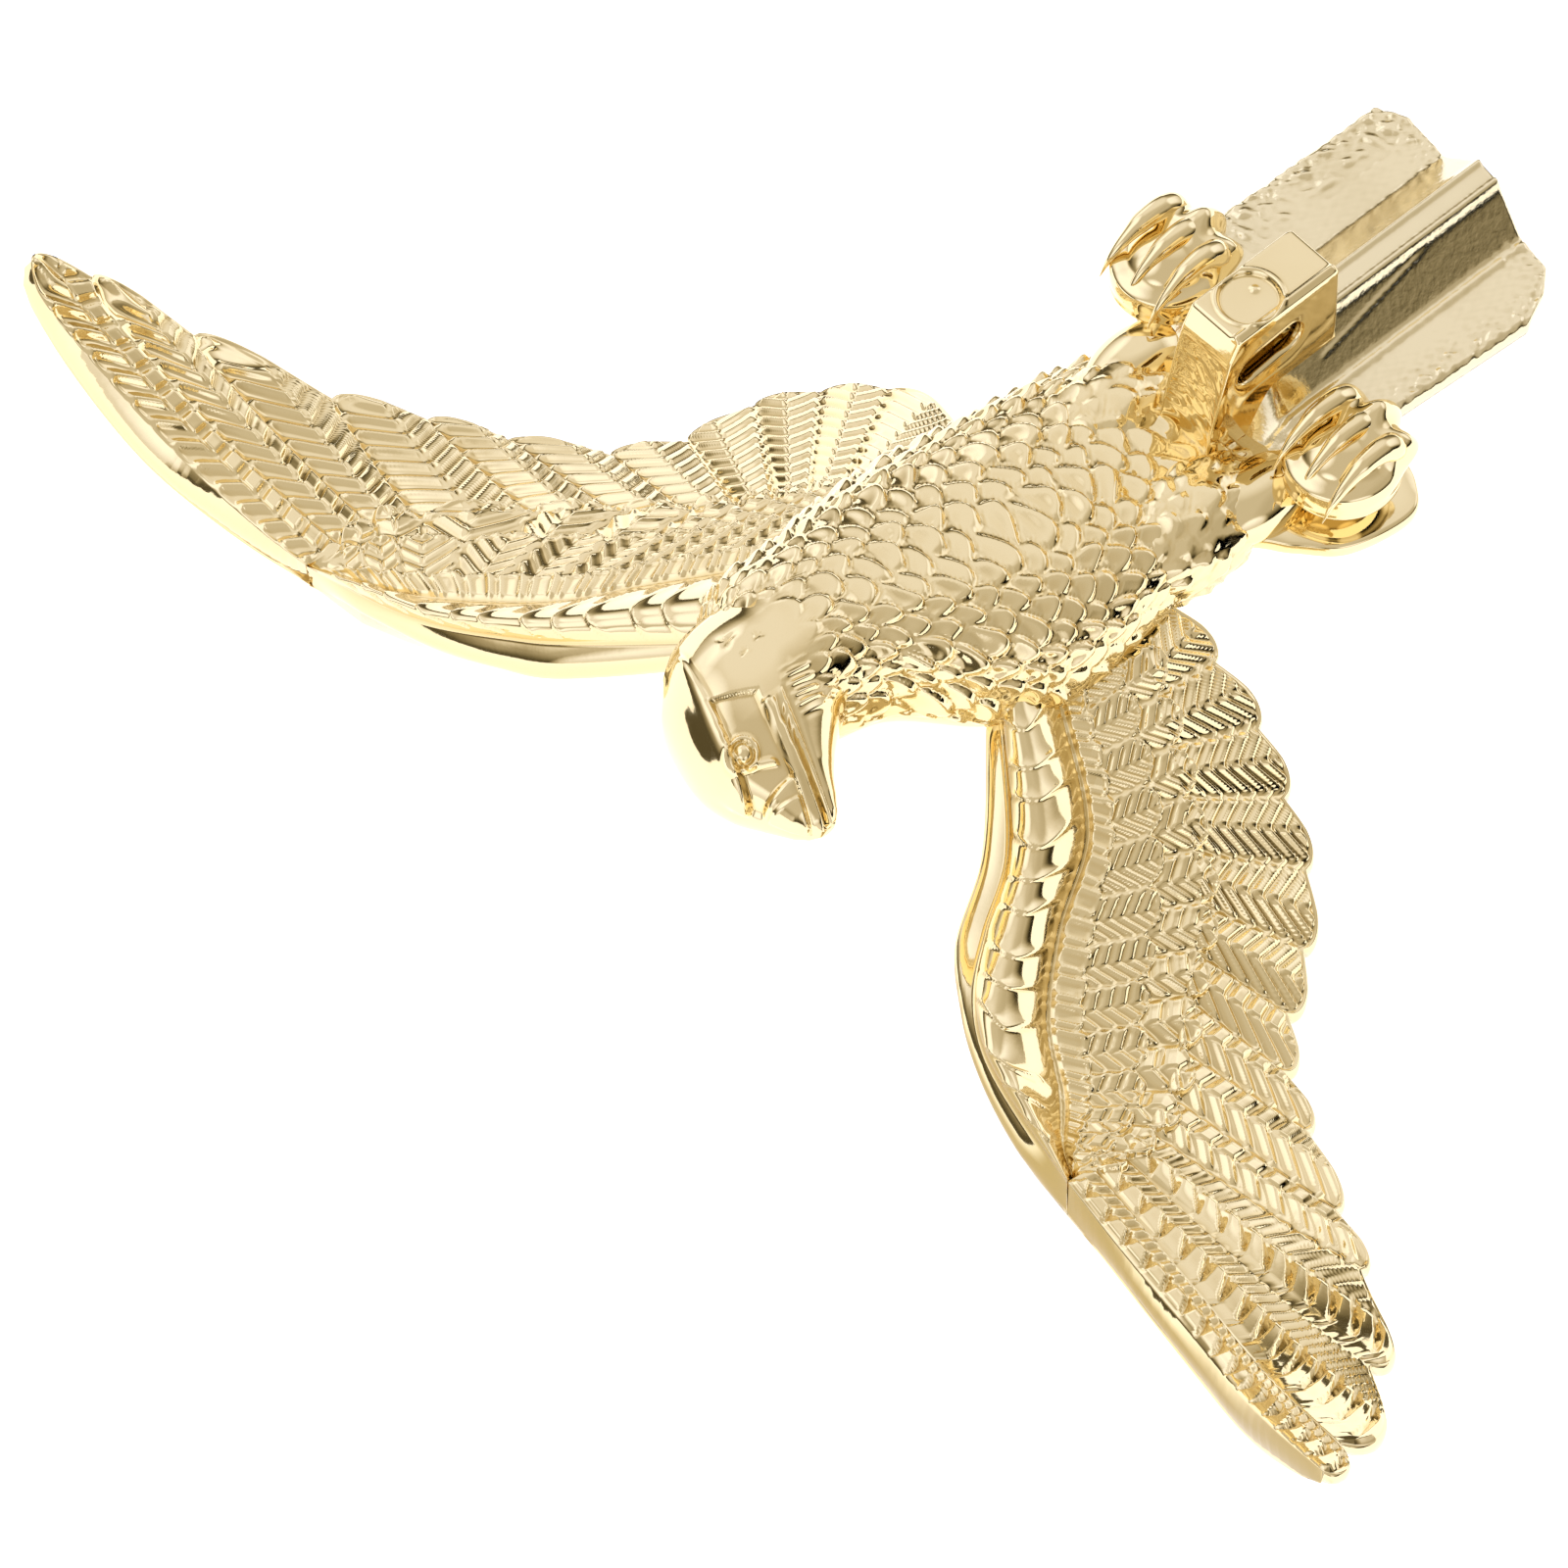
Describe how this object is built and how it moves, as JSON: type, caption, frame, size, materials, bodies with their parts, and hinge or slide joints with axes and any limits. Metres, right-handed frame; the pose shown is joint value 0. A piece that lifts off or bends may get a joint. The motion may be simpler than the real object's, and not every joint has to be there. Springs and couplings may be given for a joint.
{
  "type": "eagle flagpole finial",
  "caption": "Gold plated cast eagle finial with spread wings, head turned to one side, clenched feet and an upright slotted lug between them, lying on the backs of its wings.",
  "frame": {"origin": "middle of the bounding box's underside, the surface that the casting lies on", "axes": "+X towards the bird's right wing tip, +Y from the head to the tail, +Z the way the belly faces"},
  "size_m": [0.1866, 0.113, 0.0451],
  "materials": {
    "plated_casting": "polished gold plate over a die casting"
  },
  "bodies": {
    "root": {"eagle": "plated_casting"}
  },
  "joints": []
}
